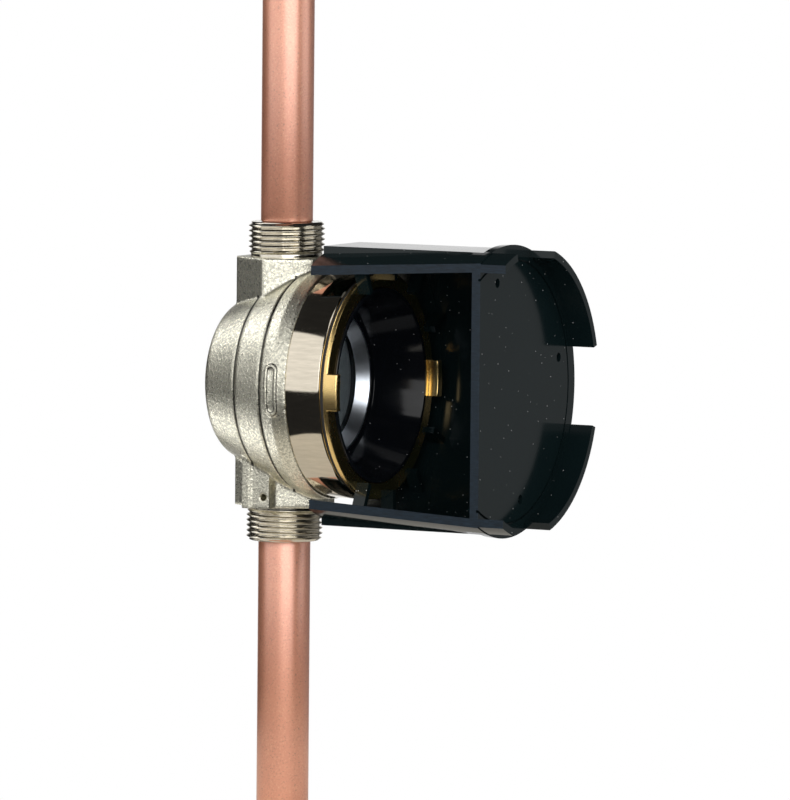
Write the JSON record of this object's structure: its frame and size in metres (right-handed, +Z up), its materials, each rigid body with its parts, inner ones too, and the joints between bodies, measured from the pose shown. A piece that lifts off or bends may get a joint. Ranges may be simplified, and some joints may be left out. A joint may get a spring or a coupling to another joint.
{
  "type": "concealed water meter",
  "caption": "Single-jet water meter: cast body between soldered copper pipes, threaded ports, lug ring, sunk register and a sectioned round site cover.",
  "frame": {"origin": "centre of the lower pipe's free end, on the pipes' axis", "axes": "+Z up along the pipes to the upper pipe's end; -Y out of the bowl's mouth towards the site cover's plate; -X the side on which the cover is cut open"},
  "size_m": [0.0905, 0.1145, 0.3],
  "materials": {
    "meter_body": "nickel plate over a sand casting, grainy, the mouth band turned",
    "lower_pipe": "drawn copper, satin, lightly tarnished",
    "upper_pipe": "drawn copper, satin, lightly tarnished",
    "inlet_strainer": "satin",
    "measuring_chamber": "natural, matt",
    "pivot_bearing": "polished",
    "chamber_gasket": "matt",
    "pressure_plate": "turned",
    "register_plate": "matt",
    "dial": "printed, matt",
    "register_cup": "moulded, glossy",
    "window": "clear",
    "bezel_ring": "polished",
    "head_gasket": "matt",
    "lug_ring": "bright turned and milled",
    "impeller": "matt",
    "impeller_spindle": "ground",
    "impeller_magnet": "ferrite, matt",
    "drive_magnet": "ferrite, matt",
    "drive_arbor": "ground",
    "flow_wheel": "satin",
    "flow_star": "gloss",
    "litre_wheel": "satin",
    "litre_pointer": "gloss",
    "cubic_wheel": "satin",
    "cubic_pointer": "gloss",
    "site_cover": "moulded, glossy, sawn on the section plane"
  },
  "bodies": {
    "meter": {"meter_body": "meter_body", "lower_pipe": "lower_pipe", "upper_pipe": "upper_pipe", "inlet_strainer": "inlet_strainer", "measuring_chamber": "measuring_chamber", "pivot_bearing": "pivot_bearing", "chamber_gasket": "chamber_gasket", "pressure_plate": "pressure_plate", "register_plate": "register_plate", "dial": "dial", "register_cup": "register_cup", "window": "window", "bezel_ring": "bezel_ring", "head_gasket": "head_gasket", "lug_ring": "lug_ring"},
    "impeller_unit": {"impeller": "impeller", "impeller_spindle": "impeller_spindle", "impeller_magnet": "impeller_magnet"},
    "drive_unit": {"drive_magnet": "drive_magnet", "drive_arbor": "drive_arbor"},
    "flow_unit": {"flow_wheel": "flow_wheel", "flow_star": "flow_star"},
    "litre_unit": {"litre_wheel": "litre_wheel", "litre_pointer": "litre_pointer"},
    "cubic_unit": {"cubic_wheel": "cubic_wheel", "cubic_pointer": "cubic_pointer"},
    "cover_unit": {"site_cover": "site_cover"}
  },
  "joints": [
    {"name": "impeller_spin", "type": "hinge", "parent": "meter", "child": "impeller_unit", "pos_m": [0, 0, 0.15], "axis": [0, -1, 0], "continuous": true},
    {"name": "drive_spin", "type": "hinge", "parent": "meter", "child": "drive_unit", "pos_m": [0, 0, 0.15], "axis": [0, -1, 0], "continuous": true},
    {"name": "flow_spin", "type": "hinge", "parent": "meter", "child": "flow_unit", "pos_m": [-0.00554, 0, 0.1532], "axis": [0, -1, 0], "continuous": true},
    {"name": "litre_spin", "type": "hinge", "parent": "meter", "child": "litre_unit", "pos_m": [-0.01456, 0, 0.14992], "axis": [0, -1, 0], "continuous": true},
    {"name": "cubic_spin", "type": "hinge", "parent": "meter", "child": "cubic_unit", "pos_m": [-0.01208, 0, 0.14064], "axis": [0, -1, 0], "continuous": true},
    {"name": "cover_pull", "type": "slide", "parent": "meter", "child": "cover_unit", "axis": [0, -1, 0], "range_m": [0, 0.08]}
  ],
  "couplings": [
    {"joint": "drive_spin", "follows": "impeller_spin", "ratio": 1},
    {"joint": "flow_spin", "follows": "impeller_spin", "ratio": -0.33333},
    {"joint": "litre_spin", "follows": "impeller_spin", "ratio": 0.066667},
    {"joint": "cubic_spin", "follows": "impeller_spin", "ratio": -0.013333}
  ]
}
